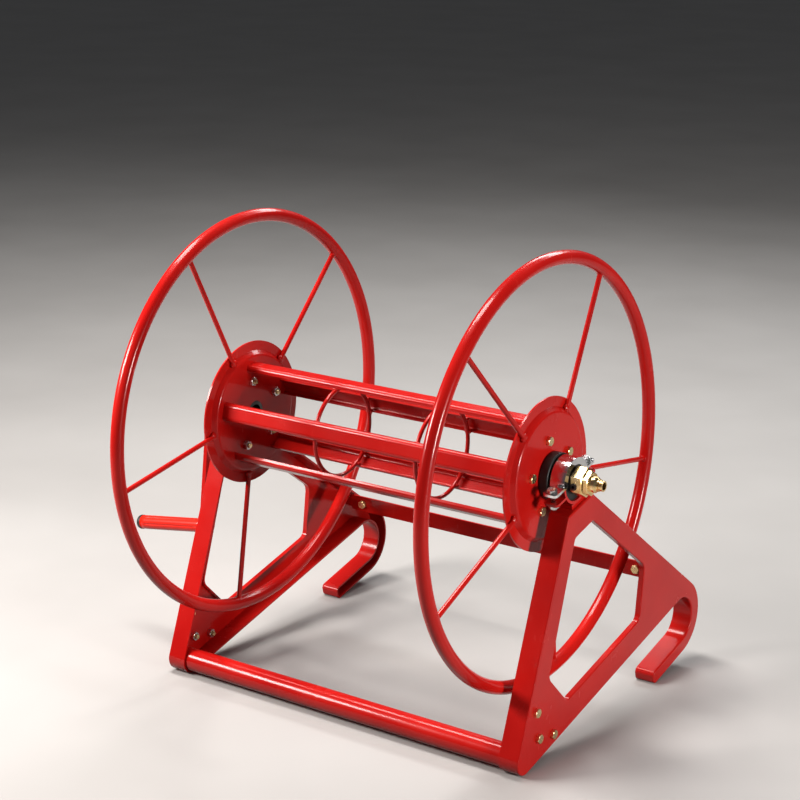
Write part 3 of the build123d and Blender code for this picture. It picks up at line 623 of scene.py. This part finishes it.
# %% The weld bead tree
bead = Tree("weld_bead", middle=("Vector", (0, 0, 0)), radius=("Float", 0.014),
            thickness=("Float", 0.0016), scales=("Float", 30.0))
g = bead.given
path = bead.node("GeometryNodeCurvePrimitiveCircle", Resolution=240, Radius=g["radius"])
along = bead.node("GeometryNodeSplineParameter")
phase = bead.math("MULTIPLY", along, bead.math("MULTIPLY", g["scales"], math.tau))
wave = bead.math("SINE", phase, 0.0)
SWELL = 0.16
swell = bead.math("ADD", 1.0, bead.math("MULTIPLY", wave, SWELL))
path = bead.node("GeometryNodeSetCurveRadius", Curve=path, Radius=swell)
seam = bead.tube(path, g["thickness"], 12)
seam = bead.node("GeometryNodeTransform", Geometry=seam, Translation=g["middle"],
                 Rotation=(0, math.pi / 2, 0))
bead.finished(bead.node("GeometryNodeSetShadeSmooth", Geometry=seam))
print("bead tree", len(bead.group.nodes), "nodes")

# %% Beads round the ends of the front tube
BEAD_FROM_PLATE = 0.0012
BEAD_ABOVE_TUBE = 0.0003
TUBE_SCALES = 34.0
tube_low, tube_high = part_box("front_tube")
tube_radius = (tube_high.z - tube_low.z) / 2
tube_y, tube_z = (tube_low.y + tube_high.y) / 2, (tube_low.z + tube_high.z) / 2
for side, x in (("right", tube_high.x - BEAD_FROM_PLATE), ("left", tube_low.x + BEAD_FROM_PLATE)):
    grow(side + "_tube_weld", bead, "stand", "red_paint", radius=tube_radius + BEAD_ABOVE_TUBE,
         middle=Vector((x, tube_y, tube_z)), scales=TUBE_SCALES)

# %% [markdown]
# Each wire ring touches a slat at its two inner edges. A short tack holds it there, one on each side of
# the wire. The tacks are small lumps, so the fixings tree can place them too.

# %% Tacks between the rings and the slats
SLATS = 5
SLAT_ANGLE = 21.5               # degrees from the horizontal to the first slat's middle
SLAT_EDGE = 9.3                 # degrees from a slat's middle to its inner edge
TACK_DEPTH = 0.0012             # how far a tack sits inside the ring's outer edge
TACK_OVERLAP = 0.0004           # how far it reaches in beside the wire


def tack_mesh():
    shape = bmesh.new()
    bmesh.ops.create_icosphere(shape, subdivisions=3, radius=0.0026)
    for vert in shape.verts:
        vert.co *= 1 + 0.14 * math.sin(1900 * vert.co.x + 3) * math.cos(1700 * vert.co.y)
    for face in shape.faces:
        face.smooth = True
    mesh = bpy.data.meshes.new("tack")
    shape.to_mesh(mesh)
    shape.free()
    return mesh


for side in ("right", "left"):
    ring_low, ring_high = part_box(side + "_wire_ring")
    ring_radius = (ring_high.z - ring_low.z) / 2 - TACK_DEPTH
    tacks = []
    for number in range(SLATS):
        for edge in (-SLAT_EDGE, SLAT_EDGE):
            angle = math.radians(SLAT_ANGLE + 360 / SLATS * number + edge)
            outwards = Vector((0, math.cos(angle), math.sin(angle)))
            for x in (ring_low.x + TACK_OVERLAP, ring_high.x - TACK_OVERLAP):
                at = Vector((x, axle.y + ring_radius * math.cos(angle),
                             axle.z + ring_radius * math.sin(angle)))
                tacks.append((at, outwards))
    tack = bpy.data.objects.new("tack", tack_mesh())
    bpy.context.scene.collection.objects.link(tack)
    grow(side + "_ring_tacks", fixings, "drum", "red_paint", start=points_mesh(tacks),
         piece=tack)
    bpy.data.objects.remove(tack)

# %% [markdown]
# ## Floor, light and camera
# The reel stands on a plain pale floor under four soft lights. A long one overhead draws the highlights
# along the hoops and slats. A small one at the left front lights the faces that look that way, one from
# the right lights the flat face of the side frame and the disc, and one from behind edges the hoops.
# The sky is dim, so the gloss of the paint shows the lights and stays deep red elsewhere. For the same
# reason the floor shows in reflections but throws no soft light back on the undersides.

# %% Floor
floor_mesh = bpy.data.meshes.new("floor")
REACH = 30
floor_mesh.from_pydata([(-REACH, -REACH, 0), (REACH, -REACH, 0), (REACH, REACH, 0),
                        (-REACH, REACH, 0)], [], [(0, 1, 2, 3)])
floor = bpy.data.objects.new("floor", floor_mesh)
bpy.context.scene.collection.objects.link(floor)
floor_finish, tree, shader, place = new_finish("pale_floor")
pale = ramp(tree, noise(tree, place, 3, 3), [(0.3, (0.38, 0.37, 0.36)), (0.7, (0.42, 0.41, 0.40))])
tree.links.new(pale, shader.inputs["Base Color"])
shader.inputs["Roughness"].default_value = 0.6
floor_mesh.materials.append(floor_finish)
floor.visible_diffuse = False
print("floor", 2 * REACH, "metres wide")

# %% Lights and sky
def soft_light(name, at, target, size, power, colour=(1, 1, 1)):
    light = bpy.data.lights.new(name, "AREA")
    light.shape = "RECTANGLE"
    light.size, light.size_y = size
    light.energy = power
    light.color = colour
    lamp = bpy.data.objects.new(name, light)
    lamp.location = at
    lamp.rotation_mode = "QUATERNION"
    lamp.rotation_quaternion = (Vector(target) - Vector(at)).to_track_quat("-Z", "Y")
    bpy.context.scene.collection.objects.link(lamp)
    return lamp


soft_light("key", (-0.6, 0.1, 2.3), (0, 0, 0.3), (0.5, 1.7), 64, (1, 0.96, 0.92))
soft_light("left_front", (-0.85, -0.85, 0.85), (-0.15, 0, 0.3), (0.5, 0.35), 25, (1, 0.94, 0.90))
soft_light("right_panel", (2.6, -0.25, 0.6), (0.25, 0, 0.3), (0.5, 0.5), 50, (1, 0.96, 0.93))
soft_light("back_rim", (-0.2, 2.0, 1.8), (0, 0, 0.3), (1.8, 0.4), 30)
sky = bpy.data.worlds.new("sky")
bpy.context.scene.world = sky
sky.use_nodes = True
sky.node_tree.nodes["Background"].inputs["Color"].default_value = (0.86, 0.88, 0.92, 1)
sky.node_tree.nodes["Background"].inputs["Strength"].default_value = 0.08
bpy.context.scene.view_settings.view_transform = "Standard"
print("lights", [lamp.name for lamp in bpy.data.lights])

# %% Camera
# The eye is given from the axle's middle, in metres.
camera = bpy.data.cameras.new("camera")
camera.lens = 90.04
camera.sensor_width = 36
camera.shift_x = -0.0043
camera.shift_y = -0.0013
eye = bpy.data.objects.new("camera", camera)
eye.location = axle + Vector((1.28914, -1.82090, 0.69200))
eye.rotation_euler = (math.radians(73.98), math.radians(-0.26), math.radians(35.02))
bpy.context.scene.collection.objects.link(eye)
bpy.context.scene.camera = eye
print("camera", [round(v, 3) for v in eye.location])

# %% [markdown]
# ## Finish
# The last line updates the view layer, so every piece stands at its place.

# %% Finish
bpy.context.view_layer.update()
